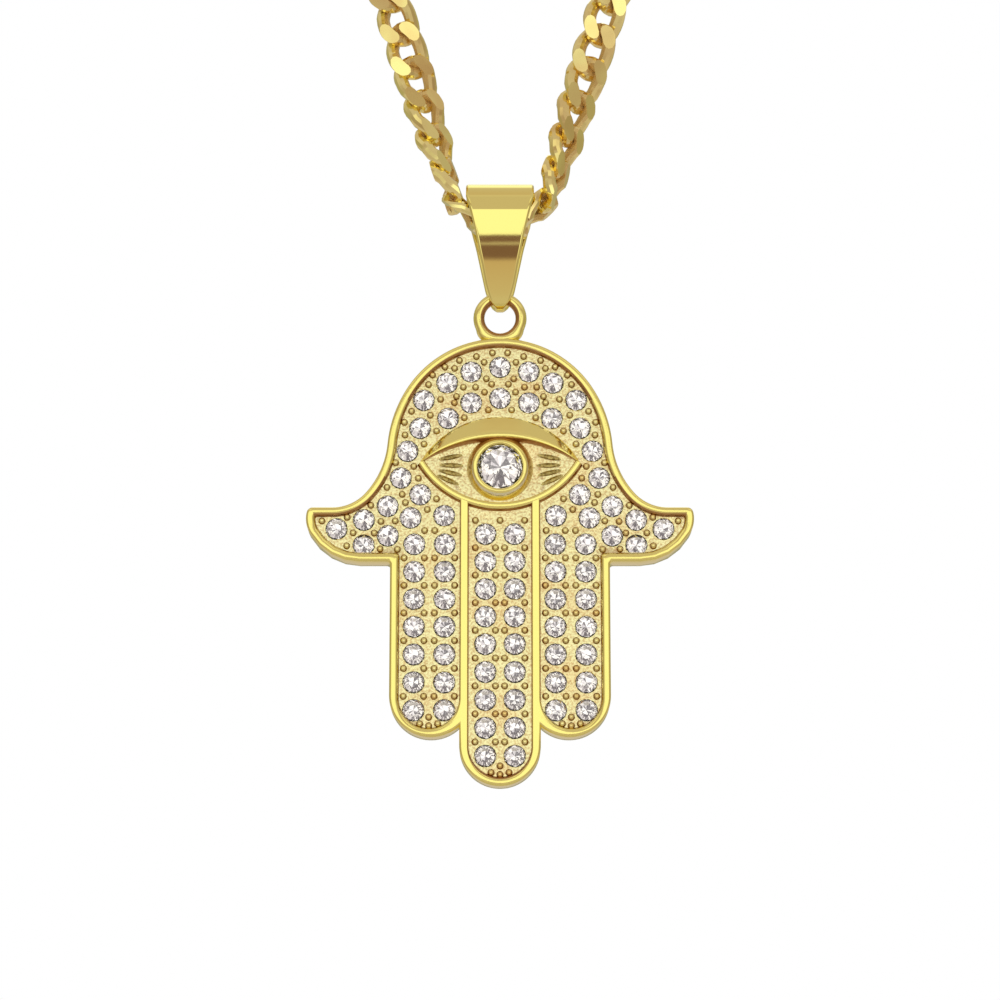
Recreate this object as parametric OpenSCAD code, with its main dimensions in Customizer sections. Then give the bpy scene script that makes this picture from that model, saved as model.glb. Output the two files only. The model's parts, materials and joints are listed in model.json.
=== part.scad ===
// Hamsa pendant: a cast hand set with round stones, with an eye in its palm.
// It hangs from a folded bail on a curb chain that closes behind the neck.
// Sizes are in millimetres. The origin is at the nape, where the clasp lies on the neck.
// +Z is up and the pendant hangs in front of the neck, towards -Y.

/* [Hand] */
// Width over the two thumb tips
hand_w = 38.6; // [36:0.1:44]
// Radius of the round top of the palm
arch_r = 11; // [10:0.1:12.5]
// Radius of the sides below the round top
side_r = 12.8; // [12.6:0.1:16]
// Radius of the hollow where a side flares out to its thumb
flare_r = 8.8; // [8:0.1:10]
// Radius of the tighter hollow above the thumb
thumb_bend_r = 4.4; // [3.8:0.1:5]
// Height of a thumb, from its top to its underside
thumb_h = 5.5; // [5:0.1:6.5]
// Radius of the round end of a thumb
thumb_tip_r = 3; // [2.6:0.1:3.3]
// Width over the two outer fingers
fingers_w = 21.8; // [21:0.1:24]
// Length of an outer finger below the thumbs
outer_finger_l = 17.5; // [14:0.1:21]
// Radius of the round end of an outer finger
outer_finger_tip_r = 4.1; // [3.9:0.05:4.3]
// Width of the middle finger
middle_finger_w = 8; // [7.6:0.1:8.6]
// Length of the middle finger below the outer ones
middle_finger_l = 4.8; // [4:0.1:7]
// Thickness of the hand
hand_t = 3; // [2.6:0.1:4]
// Width of the raised rim and of the ridges between the fingers
rim_w = 0.9; // [0.7:0.05:1.1]
// Depth of the floor below the rim
floor_d = 0.5; // [0.3:0.05:0.8]

/* [Eye] */
// Width of the eye, corner to corner
eye_w = 16.2; // [15:0.1:17]
// Height of the upper lid above the corners
lid_rise = 4.9; // [4.5:0.1:5.2]
// Height of the upper lid's sharp crest above the corners
crest_rise = 2.7; // [2.5:0.05:2.9]
// Drop of the lower lid below the corners
lower_lid_drop = 4.6; // [4.3:0.1:4.9]
// Width of the lower lid's rim
lower_lid_w = 0.65; // [0.5:0.05:0.9]
// How far the upper lid's crest stands above the hand's rim
crest_h = 0.7; // [0.4:0.05:1]
// Depth of the engraved strokes beside the eye stone
stroke_d = 0.2; // [0.1:0.05:0.3]
// Width of the engraved strokes
stroke_w = 0.4; // [0.3:0.05:0.5]

/* [Stones] */
// Diameter of a small stone
stone_d = 2.06; // [1.9:0.02:2.2]
// Height of a small stone
stone_h = 1; // [0.8:0.05:1.2]
// Diameter of the eye stone
eye_stone_d = 4.5; // [4.1:0.1:4.7]
// Height of the eye stone
eye_stone_h = 2.1; // [1.7:0.1:2.3]
// Wall of the setting round the eye stone
bezel_wall = 1.05; // [0.9:0.05:1.2]
// How far that setting stands above the hand's rim
bezel_h = 0.6; // [0.4:0.05:0.8]
// Gap between a stone and its seat
seat_gap = 0.06; // [0.03:0.01:0.1]
// Distance from one row of stones to the next in a finger
row_pitch = 2.77; // [2.6:0.01:3.1]
// Diameter of the cast beads between the stones
bead_d = 0.66; // [0.5:0.02:0.76]

/* [Ring and bail] */
// Wire diameter of the ring cast on the hand
ring_wire = 1.12; // [0.95:0.01:1.2]
// Hole diameter of that ring
ring_hole = 3.15; // [3.05:0.05:3.8]
// Height from the pin line of the ring up to the middle of the bail's top loop
bail_l = 8.4; // [8:0.1:10]
// Width of the bail at its top
bail_w = 6.9; // [6.2:0.1:8]
// Thickness of the bail's strap
bail_t = 0.5; // [0.4:0.05:0.6]
// Room between the chain and the inside of the bail
bail_room = 0.8; // [0.7:0.05:1]
// Room between the ring and the inside of the bail's foot
foot_room = 0.4; // [0.35:0.01:0.5]

/* [Chain] */
// Outer length of a link
link_l = 6.35; // [6.2:0.05:6.7]
// Outer width of a link
link_w = 4.4; // [4.2:0.05:4.7]
// Wire diameter of a link
link_wire = 1; // [0.9:0.01:1.1]
// Slack between one link and the next
link_play = 0.6; // [0.5:0.05:0.7]
// Thickness of the chain over its cut flats
chain_t = 1.9; // [1.7:0.05:2]

/* [Clasp] */
// Diameter of the clasp's barrel
clasp_d = 4.4; // [4.3:0.1:6]
// Length of the barrel
clasp_l = 7; // [5:0.5:12]
// Hole diameter of the eye at each end
clasp_hole = 2.6; // [2.4:0.1:3]
// Wire diameter of those eyes
clasp_wire = 0.9; // [0.7:0.05:1]

/* [Hidden] */
tiny = 0.01;
over = 1;

// Where the chain goes, in the frame at the nape. The bail point is the middle of the
// bail's top loop. A pull is how far a curve runs on in the named direction at a point.
BAIL = [0, -117, -135.5];
SHOULDER = [59.5, -50, -18.5];
SHOULDER_DIR = [0.05, 0.8, 0.6];
DRAPE_PULL = 28;
SHOULDER_PULL = 42;
NAPE_PULL = 34;
// The lowest link hangs this far under the middle of the bail's loop
drape_drop = 0.9;
// Turn from one link to the next inside the bail, and how steep the two strands then are
drape_turn = 41;
strand_rise = 73.5;
// Above the bail each strand runs straight for this long
strand_l = 20;
// The chain is edge-on inside the bail, and faces out this many links further on
edge_on_links = 1.5;
quarter_turn_links = 4.5;

// Heights on the hand are measured from the middle of its round top
arc_step = 6;
side_a = 33;
waist_a = 5;
thumb_bend_a = 221;
thumb_corner_r = 0.6;
crotch_r = 0.6;
side_c = (arch_r - side_r) * [cos(side_a), sin(side_a)];
flare_c = side_c + (side_r + flare_r) * [cos(waist_a), sin(waist_a)];
thumb_bend_c = flare_c + (flare_r - thumb_bend_r) * [cos(thumb_bend_a), sin(thumb_bend_a)];
thumb_top = thumb_bend_c[1] - thumb_bend_r;
thumb_under = thumb_top - thumb_h;
thumb_tip_drop = 0.37 * thumb_tip_r;
thumb_tip_c = [hand_w / 2 - thumb_tip_r, thumb_top - thumb_tip_drop];
thumb_root_l = 2.4;
thumb_root = thumb_tip_c - [thumb_root_l, 0];
outer_finger_end = thumb_under - outer_finger_l;
outer_tip_c = [fingers_w / 2 - outer_finger_tip_r, outer_finger_end + outer_finger_tip_r];
middle_half = middle_finger_w / 2;
middle_finger_end = outer_finger_end - middle_finger_l;
middle_tip_c = [0, middle_finger_end + middle_half];
palm_h = arch_r - thumb_under;
floor_t = hand_t - floor_d;

// The eye's corners lie on one level, and its stone a little lower. A wider arch lifts them.
eye_lift = 0.095 * arch_r;
eye_drop = 3;
eye_level = eye_lift - eye_drop;
eye_stone_drop = 0.4;
eye_c = [0, eye_level - eye_stone_drop];
bezel_r = eye_stone_d / 2 + bezel_wall;
bezel_crest_w = 0.42;
bezel_lean = 0.15;
lid_r = arc_radius(eye_w, lid_rise);
crest_r = arc_radius(eye_w, crest_rise);
lower_lid_r = arc_radius(eye_w, lower_lid_drop);
lower_lid_z = eye_level - lower_lid_drop;

ring_wire_r = ring_wire / 2;
ring_r = ring_hole / 2 + ring_wire_r;
ring_sink = 0.275;
ring_z = arch_r - ring_sink + ring_r + ring_wire_r;
// The hand swings on this line, inside the foot of the bail
pin_z = ring_z + ring_r;
bail_in_r = link_w / 2 + bail_room;
bail_out_r = bail_in_r + bail_t;
foot_in_r = ring_wire_r + foot_room;
foot_out_r = foot_in_r + bail_t;
foot_side_gap = 0.25;
ankle_flare = 0.2;
heel_flare = 0.06;
heel_drop = 0.3;

// Round stones in the palm, right half: across as a share of half the hand's width,
// up from the thumbs' underside as a share of the palm's height, and the bearings
// of the cast beads that stand round that stone.
STONE_ACROSS = 0;
STONE_UP = 1;
STONE_BEADS = 2;
PALM = [
    [0, 0.871, [63, 18]],
    [0.15, 0.85, [108, 45, 205]],
    [0.275, 0.8, [82, 116, 29, 195, 236]],
    [0.396, 0.722, [106, 177, -43, 247]],
    [0, 0.731, [60, 22, -46]],
    [0.15, 0.71, [105, 0, -66]],
    [0.269, 0.64, []],
    [0.415, 0.596, [21, 190, 256]],
    [0.479, 0.493, [81, -45, 248]],
    [0.513, 0.373, [-35, 265]],
    [0.412, 0.299, [83, 195, -29, 245]],
    [0.288, 0.205, []],
    [0.461, 0.196, []],
    [0.58, 0.247, [3, -67, 243]],
    [0.702, 0.186, [9, -51, 232]],
    [0.842, 0.146, [29]],
    [0.702, 0.074, [-2, 193]],
    [0.578, 0.116, [235]]];
bead_standoff = 0.65;
bead_reach = stone_d / 2 + bead_standoff;

// Points of an arc, from one bearing to another
function arc(c, r, from, to) =
    let (n = max(2, ceil(abs(to - from) / arc_step)))
    [for (i = [0:n]) let (a = from + (to - from) * i / n) c + r * [cos(a), sin(a)]];
// Radius of an arc from its chord and its rise
function arc_radius(chord, rise) = (chord * chord / 4 + rise * rise) / (2 * rise);
// Drops points that lie on the point before them
function distinct(p) =
    [for (i = [0:len(p) - 1]) if (i == 0 || norm(p[i] - p[i - 1]) > tiny) p[i]];
function mirrored(p) = [for (i = [len(p) - 1:-1:0]) [-p[i][0], p[i][1]]];
function closed_outline(p) = distinct(concat(p, mirrored(p)));

// Right half of the hand's outline from the top down to the thumb's root, moved inwards
function palm_half(inset) =
    let (tip_r = thumb_tip_r - inset,
         corner_r = max(thumb_corner_r - inset, 0.2),
         corner_z = thumb_top - inset - corner_r,
         corner_lift = corner_z - thumb_tip_c[1],
         corner_a = asin(corner_lift / (tip_r - corner_r)),
         corner_x = thumb_tip_c[0] + (tip_r - corner_r) * cos(corner_a),
         rise = thumb_tip_c[1] - thumb_under,
         reach = thumb_tip_c[0] - thumb_root[0],
         under_r = (reach * reach + rise * rise - thumb_tip_r * thumb_tip_r)
                   / (2 * (rise - thumb_tip_r)),
         under_c = [thumb_root[0], thumb_under + under_r],
         under_a = atan2(thumb_tip_c[1] - under_c[1], reach),
         crotch_c = [fingers_w / 2 + crotch_r, thumb_under - crotch_r])
    concat(arc([0, 0], arch_r - inset, 90, side_a),
           arc(side_c, side_r - inset, side_a, waist_a),
           arc(flare_c, flare_r + inset, 180 + waist_a, thumb_bend_a),
           arc(thumb_bend_c, thumb_bend_r + inset, thumb_bend_a, 270),
           arc([corner_x, corner_z], corner_r, 90, corner_a),
           arc(thumb_tip_c, tip_r, corner_a, under_a),
           arc(under_c, under_r - inset, under_a, -90),
           arc(crotch_c, crotch_r + inset, 90, 180));

function hand_half() =
    let (notch_a = -acos((middle_half - outer_tip_c[0]) / outer_finger_tip_r))
    concat(palm_half(0),
           arc(outer_tip_c, outer_finger_tip_r, 0, notch_a),
           arc(middle_tip_c, middle_half, 0, -90));

// The floor of the palm runs on down both outer fingers, past the eye
function palm_floor_half() =
    let (outer_x = fingers_w / 2 - rim_w,
         end_r = (outer_x - middle_half) / 2,
         end_c = [middle_half + end_r, outer_finger_end + rim_w + end_r])
    concat(palm_half(rim_w), arc(end_c, end_r, 0, -180), [[middle_half, lower_lid_z + over]]);

// Heights in the hand are laid out flat and then stood up, front towards -Y
module stood_up()
    translate([BAIL[0], BAIL[1] + hand_t / 2, BAIL[2] - bail_l - pin_z]) rotate([90, 0, 0])
        children();

module both_sides() {
    children();
    mirror([1, 0, 0]) children();
}

module hand_blank() {
    linear_extrude(hand_t) polygon(closed_outline(hand_half()));
    translate([0, ring_z, hand_t / 2]) rotate_extrude($fn = 48)
        translate([ring_r, 0]) circle(ring_wire_r, $fn = 24);
}

module floors() translate([0, 0, floor_t]) {
    linear_extrude(floor_d + over) polygon(closed_outline(palm_floor_half()));
    linear_extrude(floor_d + over) middle_floor();
}

module middle_floor() {
    half = middle_half - rim_w;
    translate([-half, middle_tip_c[1]]) square([2 * half, lower_lid_z + over - middle_tip_c[1]]);
    translate(middle_tip_c) circle(half, $fn = 60);
}

// A slope that rises from the lid's outer edge and breaks off at a sharp crest
module upper_lid() {
    lid_c = [0, eye_level + lid_rise - lid_r];
    crest_c = [0, eye_level + crest_rise - crest_r];
    slope_w = lid_rise - crest_rise;
    rise = crest_h + floor_d;
    difference() {
        translate([lid_c[0], lid_c[1], floor_t - tiny])
            cylinder(h = rise, r1 = lid_r, r2 = lid_r - slope_w, $fn = 96);
        translate([crest_c[0], crest_c[1], 0]) cylinder(h = 2 * hand_t, r = crest_r, $fn = 144);
    }
}

module lower_lid() {
    lid_c = [0, lower_lid_z + lower_lid_r];
    linear_extrude(hand_t) difference() {
        translate(lid_c) circle(lower_lid_r, $fn = 96);
        translate(lid_c) circle(lower_lid_r - lower_lid_w, $fn = 96);
        translate([-eye_w, eye_level]) square([2 * eye_w, 2 * lower_lid_r]);
    }
}

module bezel() translate([eye_c[0], eye_c[1], floor_t - tiny]) rotate_extrude($fn = 72)
    polygon([[0, 0], [bezel_r, 0], [bezel_r - bezel_lean, (floor_d + bezel_h) / 2],
             [eye_stone_d / 2 + bezel_crest_w, floor_d + bezel_h], [0, floor_d + bezel_h]]);

// Four strokes fan out from just outside each corner of the eye
stroke_bearings = [169.5, 184, 195, 204];
stroke_start = 2.6;
stroke_l = 2.3;
stroke_fan_x = eye_w / 2 + 0.6;
module strokes() both_sides() for (a = stroke_bearings)
    translate([stroke_fan_x, eye_level, floor_t - stroke_d]) rotate([0, 0, a])
        translate([stroke_start, -stroke_w / 2, 0]) cube([stroke_l, stroke_w, stroke_d + over]);

// One cast bead, half sunk in the floor
module bead_at(p) translate([p[0], p[1], floor_t]) sphere(d = bead_d, $fn = 16);

module palm_beads() for (row = PALM, a = row[STONE_BEADS])
    both_sides() bead_at(palm_place(row) + bead_reach * [cos(a), sin(a)]);

// Beads stand between the rows of a finger, four across, and in a cluster at its end.
// The columns' middle line comes first, then how far each column is from that line.
module finger_beads(line, spread, top, count, end) {
    for (k = [1:count], c = [-1, 1], side = [-1, 1])
        bead_at([line + c * spread + side * bead_spread, top + row_pitch * (0.5 - k)]);
    for (p = END_BEADS) bead_at([line + p[0], end + p[1]]);
}

// Above the first row of a finger
module top_beads(offsets, line, top) for (x = offsets) bead_at([line + x, top + row_pitch / 2]);

function palm_place(row) = [row[STONE_ACROSS] * hand_w / 2, thumb_under + row[STONE_UP] * palm_h];

// Rows of stones down a finger: its middle line, half the distance between its two
// columns, the beads' distance from a column, the height of the first row and the
// number of rows that follow it
outer_line = (fingers_w / 2 - rim_w + middle_half) / 2;
outer_spread = 1.51;
middle_spread = 1.45;
bead_spread = 1;
first_row_rise = 1.8;
first_row_drop = 2.5;
end_room = 2.4;
outer_top = thumb_under + first_row_rise;
outer_rows = floor((outer_top - outer_finger_end - end_room) / row_pitch);
middle_top = lower_lid_z - first_row_drop;
middle_rows = floor((middle_top - middle_finger_end - end_room) / row_pitch);
// The cluster at a finger's end: off its middle line, and up from its end
END_BEADS = [[0, 2], [-0.88, 1.35], [0.88, 1.35], [0, 1.15]];

module beads() {
    palm_beads();
    both_sides() {
        finger_beads(outer_line, outer_spread, outer_top, outer_rows, outer_finger_end);
        top_beads([-outer_spread - bead_spread + 0.1, bead_spread - outer_spread, 0.5],
                  outer_line, outer_top);
    }
    finger_beads(0, middle_spread, middle_top, middle_rows, middle_finger_end);
    top_beads([-middle_spread - bead_spread, 0, middle_spread + bead_spread], 0, middle_top);
}

// Seats are drilled from the front, a little deeper than the stones
module seats(places, d, depth, z) for (p = places)
    translate([p[0], p[1], z - depth]) cylinder(h = depth + over, d = d + 2 * seat_gap, $fn = 32);

function both(p) = concat(p, [for (q = p) if (abs(q[0]) > tiny) [-q[0], q[1]]]);
palm_places = both([for (row = PALM) palm_place(row)]);
function finger_places(line, spread, top, count) =
    [for (k = [0:count], c = [-1, 1]) [line + c * spread, top - row_pitch * k]];
right_places = finger_places(outer_line, outer_spread, outer_top, outer_rows);
left_places = [for (q = right_places) [-q[0], q[1]]];
middle_places = finger_places(0, middle_spread, middle_top, middle_rows);

// A stone's girdle lies just above the floor, or just under the eye setting's crest
crown_share = 0.3;
girdle_share = 0.08;
pavilion_share = 1 - crown_share - girdle_share;
table_share = 0.6;
culet_share = 0.04;
girdle_lift = 0.03;
eye_stone_sink = 0.5;
seat_room = 0.1;
stone_z = floor_t + girdle_lift;
eye_stone_z = hand_t + bezel_h - eye_stone_sink;

module hand() color("gold") stood_up() difference() {
    union() {
        difference() {
            hand_blank();
            floors();
        }
        upper_lid();
        lower_lid();
        bezel();
        beads();
    }
    seats(concat(palm_places, left_places, middle_places, right_places), stone_d,
          pavilion_share * stone_h + seat_gap + seat_room, stone_z);
    seats([eye_c], eye_stone_d, pavilion_share * eye_stone_h + seat_gap + seat_room, eye_stone_z);
    strokes();
}

// A round brilliant: table, crown, girdle and pavilion, cut as crossed prisms
module brilliant(d, h, sides) {
    r = d / 2 * cos(180 / sides);
    half = [[table_share * r, crown_share * h + girdle_share * h], [r, girdle_share * h], [r, 0],
            [culet_share * r, -pavilion_share * h]];
    intersection_for(k = [0:sides / 2 - 1]) rotate([0, 0, k * 360 / sides])
        rotate([90, 0, 0]) translate([0, 0, -d]) linear_extrude(2 * d)
            polygon(concat(half, mirrored(half)));
}

module stone_field(places) color("lavender") stood_up() for (p = places)
    translate([p[0], p[1], stone_z]) brilliant(stone_d, stone_h, 8);

module palm_stones() stone_field(palm_places);
module left_finger_stones() stone_field(left_places);
module middle_finger_stones() stone_field(middle_places);
module right_finger_stones() stone_field(right_places);
module eye_stone() color("white") stood_up() translate([eye_c[0], eye_c[1], eye_stone_z])
    brilliant(eye_stone_d, eye_stone_h, 16);

// A solid with the bail's side view: a big round loop for the chain and a small one for
// the ring, joined by straight tangents
module loop_solid(top_r, foot_r, w) {
    lean = asin((top_r - foot_r) / bail_l);
    side = [cos(lean), -sin(lean)];
    ends = [(top_r - tiny) * side, (foot_r - tiny) * side - [0, bail_l]];
    rotate([90, 0, 90]) translate([0, 0, -w / 2]) {
        cylinder(h = w, r = top_r, $fn = 72);
        translate([0, -bail_l, 0]) cylinder(h = w, r = foot_r, $fn = 48);
        linear_extrude(w) polygon(concat(ends, mirrored(ends)));
    }
}

// Seen from the front the strap tapers from its top loop to a foot that fits in the ring
module bail() color("goldenrod") translate(BAIL) {
    top_half = bail_w / 2;
    shoulder_rise = 0.19 * bail_l;
    waist_half = 0.7 * top_half;
    waist_drop = 0.32 * bail_l;
    foot_half = sqrt(pow(ring_hole / 2, 2) - pow(ring_r - foot_in_r, 2)) - foot_side_gap;
    ankle_half = foot_half + ankle_flare * top_half;
    heel_half = foot_half + heel_flare * top_half;
    toe_half = 0.75 * foot_half;
    front = [[top_half, bail_out_r + over], [top_half, shoulder_rise], [waist_half, -waist_drop],
             [ankle_half, -bail_l + foot_in_r], [heel_half, -bail_l - heel_drop * foot_in_r],
             [foot_half, -bail_l - foot_in_r], [toe_half, -bail_l - foot_out_r - tiny]];
    intersection() {
        difference() {
            loop_solid(bail_out_r, foot_out_r, bail_w);
            loop_solid(bail_in_r, foot_in_r, bail_w + over);
        }
        rotate([90, 0, 0]) translate([0, 0, -2 * bail_out_r]) linear_extrude(4 * bail_out_r)
            polygon(concat(front, mirrored(front)));
    }
}

// The chain's line, right half: round the inside of the bail, up to the shoulder and
// back to the nape
chain_pitch = link_l - 2 * link_wire - link_play;
drape_r = chain_pitch / 2 / sin(drape_turn / 2);
drape_c = BAIL + [0, 0, drape_r - drape_drop];
strand_dir = [cos(strand_rise), 0, sin(strand_rise)];
strand_start = drape_c + drape_r * [sin(strand_rise), 0, -cos(strand_rise)];
strand_end = strand_start + strand_l * strand_dir;
// The outer rim of a clasp's eye lies where the next link's tip would
clasp_eye_x = clasp_l / 2 + clasp_hole / 2;
clasp_eye_r = (clasp_hole + clasp_wire) / 2;
nape_end = [clasp_eye_x + clasp_eye_r - (link_wire + link_play) / 2, clasp_d / 2, 0];

function curve_point(a, b, c, d, t) =
    a * pow(1 - t, 3) + 3 * b * t * pow(1 - t, 2) + 3 * c * t * t * (1 - t) + d * pow(t, 3);
function unit(v) = v / norm(v);
shoulder_pull = SHOULDER_PULL * unit(SHOULDER_DIR);
line_steps = 40;
half_line = concat(
    [for (i = [0:12]) let (a = strand_rise * i / 12) drape_c + drape_r * [sin(a), 0, -cos(a)]],
    [for (i = [1:line_steps]) curve_point(strand_end, strand_end + DRAPE_PULL * strand_dir,
        SHOULDER - shoulder_pull, SHOULDER, i / line_steps)],
    [for (i = [1:line_steps]) curve_point(SHOULDER, SHOULDER + shoulder_pull,
        nape_end + [NAPE_PULL, 0, 0], nape_end, i / line_steps)]);

// Length along the line up to each of its points
function lengths(p, i = 0, sum = 0) =
    i == len(p) - 1 ? [sum] : concat([sum], lengths(p, i + 1, sum + norm(p[i + 1] - p[i])));
half_lengths = lengths(half_line);
half_l = half_lengths[len(half_lengths) - 1];
function axis_table(k) = [for (i = [0:len(half_line) - 1]) [half_lengths[i], half_line[i][k]]];
x_along = axis_table(0);
y_along = axis_table(1);
z_along = axis_table(2);
function on_line(s) =
    [sign(s) * lookup(abs(s), x_along), lookup(abs(s), y_along), lookup(abs(s), z_along)];

// One link straddles the lowest point, and as many follow each way as fit
links_each_way = round(half_l / chain_pitch - 0.5);
step = half_l / (links_each_way + 0.5);
neck_c = [0, BAIL[1] / 2, 0];

function link_dir(k) = unit(on_line((k + 0.5) * step) - on_line((k - 0.5) * step));
function link_face(k) =
    let (d = link_dir(k),
         out = on_line(k * step) - neck_c,
         level = unit([out[0], out[1], 0] - ([out[0], out[1], 0] * d) * d),
         past = max(0, abs(k) - edge_on_links) / quarter_turn_links,
         turn = 90 - 90 * sign(k) * min(1, past))
    cos(turn) * level + sin(turn) * cross(d, level);

// A link is a twisted oval of wire, cut flat on both faces. Seen from the front, the flats
// of a link lie at its upper right and its lower left.
link_segments = 10;
wire_sides = 6;
link_twist = -link_wire;
function link_point(t, w) =
    let (half_l = link_l / 2 - link_wire / 2,
         half_w = link_w / 2 - link_wire / 2,
         c = [half_l * cos(t), half_w * sin(t), link_twist * sin(2 * t)],
         along = unit([-half_l * sin(t), half_w * cos(t), 2 * link_twist * cos(2 * t)]),
         side = unit(cross(along, [0, 0, 1])),
         up = cross(side, along),
         p = c + link_wire / 2 * (side * cos(w) + up * sin(w)))
    [p[0], p[1], max(-chain_t / 2, min(chain_t / 2, p[2]))];
LINK = [for (i = [0:link_segments - 1], j = [0:wire_sides - 1])
        link_point((i + 0.5) * 360 / link_segments, (j + 0.5) * 360 / wire_sides)];
LINK_FACES = [for (i = [0:link_segments - 1], j = [0:wire_sides - 1], half = [0, 1])
    let (ring = i * wire_sides, next = (i + 1) % link_segments * wire_sides, up = (j + 1) % wire_sides)
    half == 0 ? [ring + j, next + j, ring + up] : [next + j, next + up, ring + up]];

function placed_link(k) =
    let (d = link_dir(k), n = link_face(k), b = cross(n, d),
         mid = (on_line((k + 0.5) * step) + on_line((k - 0.5) * step)) / 2)
    [for (p = LINK) mid + p[0] * d + p[1] * b + p[2] * n];

module links(from, to) polyhedron(
    points = [for (k = [from:to], p = placed_link(k)) p],
    faces = [for (k = [from:to], f = LINK_FACES) [for (v = f) v + (k - from) * len(LINK)]]);

module chain_left() color("khaki") links(-links_each_way, -1);
module chain_right() color("khaki") links(0, links_each_way);

// A plain barrel clasp across the nape, closed, with an eye at each end
module clasp() color("darkkhaki") translate([0, clasp_d / 2, 0]) {
    translate([-clasp_l / 2, 0, 0]) rotate([0, 90, 0]) cylinder(h = clasp_l, d = clasp_d, $fn = 48);
    both_sides() translate([clasp_eye_x, 0, 0]) rotate_extrude($fn = 36)
        translate([clasp_eye_r, 0]) circle(d = clasp_wire, $fn = 20);
}

hand();
palm_stones();
left_finger_stones();
middle_finger_stones();
right_finger_stones();
eye_stone();
bail();
chain_left();
chain_right();
clasp();
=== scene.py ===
"""A hamsa pendant on a curb chain: a gold-plated hand set with crystals, hanging from a folded bail."""
import json
import math
import random

import bmesh
import bpy
from mathutils import Matrix, Vector


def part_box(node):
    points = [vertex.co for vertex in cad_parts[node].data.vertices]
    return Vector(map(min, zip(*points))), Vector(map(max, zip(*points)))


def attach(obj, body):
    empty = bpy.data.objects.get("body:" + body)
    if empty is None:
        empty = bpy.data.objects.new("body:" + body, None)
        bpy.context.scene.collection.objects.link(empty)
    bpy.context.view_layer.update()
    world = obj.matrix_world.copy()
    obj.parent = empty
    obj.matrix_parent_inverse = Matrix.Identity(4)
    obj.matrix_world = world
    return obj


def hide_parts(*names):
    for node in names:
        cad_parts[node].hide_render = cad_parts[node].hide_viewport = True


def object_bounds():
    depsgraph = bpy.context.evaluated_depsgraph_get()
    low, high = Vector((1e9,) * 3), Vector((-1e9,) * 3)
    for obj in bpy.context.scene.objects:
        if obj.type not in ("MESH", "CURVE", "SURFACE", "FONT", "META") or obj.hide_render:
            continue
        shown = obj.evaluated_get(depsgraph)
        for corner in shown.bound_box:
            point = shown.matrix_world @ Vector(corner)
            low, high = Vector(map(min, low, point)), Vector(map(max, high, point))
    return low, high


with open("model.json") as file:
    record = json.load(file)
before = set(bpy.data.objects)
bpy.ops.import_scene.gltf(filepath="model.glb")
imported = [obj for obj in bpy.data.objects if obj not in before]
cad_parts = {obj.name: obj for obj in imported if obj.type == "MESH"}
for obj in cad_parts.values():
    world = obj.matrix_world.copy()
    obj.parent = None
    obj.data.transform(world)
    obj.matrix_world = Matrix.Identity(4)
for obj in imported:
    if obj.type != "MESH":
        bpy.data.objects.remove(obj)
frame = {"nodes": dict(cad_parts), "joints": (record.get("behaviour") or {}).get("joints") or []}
cad_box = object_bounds()
scene = bpy.context.scene

# The hand's casting
# One gold-plated casting: a flat plate with a raised polished rim that also runs up between the
# fingers, round a matte, sandblasted floor with a seat drilled from the front for every stone.
hand_low, hand_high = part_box("hand")
hand_w = (hand_high.x - hand_low.x) * 1000
hand_t = 3.0
floor_z = 2.5
rim_w = 0.9
arch_r = 11.0
side_r = 12.8
flare_r = 8.8
thumb_bend_r = 4.4
# the bearings at which the arch runs into the side, that into the flare, and that into the thumb
side_from = 33
flare_from = 5
thumb_from = 221
thumb_h = 5.5
thumb_tip_r = 3.0
thumb_tip_drop = 0.37 * thumb_tip_r
thumb_root_l = 2.4
thumb_corner_r = 0.6
least_corner_r = 0.2
crotch_r = 0.4
fingers_half = 10.9
outer_finger_l = 17.5
outer_tip_r = 4.1
middle_half = 4.0
middle_finger_l = 4.8
ring_sink = 0.275
ring_wire_r = 0.56
ring_r = 2.135

hand_joint = next(j for j in frame["joints"] if j["name"] == "hand_swing")
swing = Vector(hand_joint["pos_m"])
arch_z = swing.z - (arch_r - ring_sink + 2 * ring_r + ring_wire_r) / 1000
# The hand is drawn lying down in millimetres, front up, and this stands it up where it hangs
HAND_PLACE = (Matrix.Translation((0, swing.y + hand_t / 2000, arch_z))
              @ Matrix.Rotation(math.radians(90), 4, "X") @ Matrix.Scale(0.001, 4))


def polar(middle, radius, bearing):
    """The point at a radius and a bearing in degrees from a middle."""
    turn = math.radians(bearing)
    return (middle[0] + radius * math.cos(turn), middle[1] + radius * math.sin(turn))


def arc(middle, radius, start, end, steps, first=0):
    """Points of an arc from one bearing to another."""
    return [polar(middle, radius, start + (end - start) * i / steps) for i in range(first, steps + 1)]


side_c = polar((0, 0), arch_r - side_r, side_from)
flare_c = polar(side_c, side_r + flare_r, flare_from)
bend_c = polar(flare_c, flare_r - thumb_bend_r, thumb_from)
thumb_top = bend_c[1] - thumb_bend_r
thumb_under = thumb_top - thumb_h
tip_c = (hand_w / 2 - thumb_tip_r, thumb_top - thumb_tip_drop)
palm_h = arch_r - thumb_under
outer_end = thumb_under - outer_finger_l
middle_end = outer_end - middle_finger_l
lid_level = -1.955
eye_half = 8.1
lower_lid_drop = 4.6
lower_lid_y = lid_level - lower_lid_drop


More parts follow.
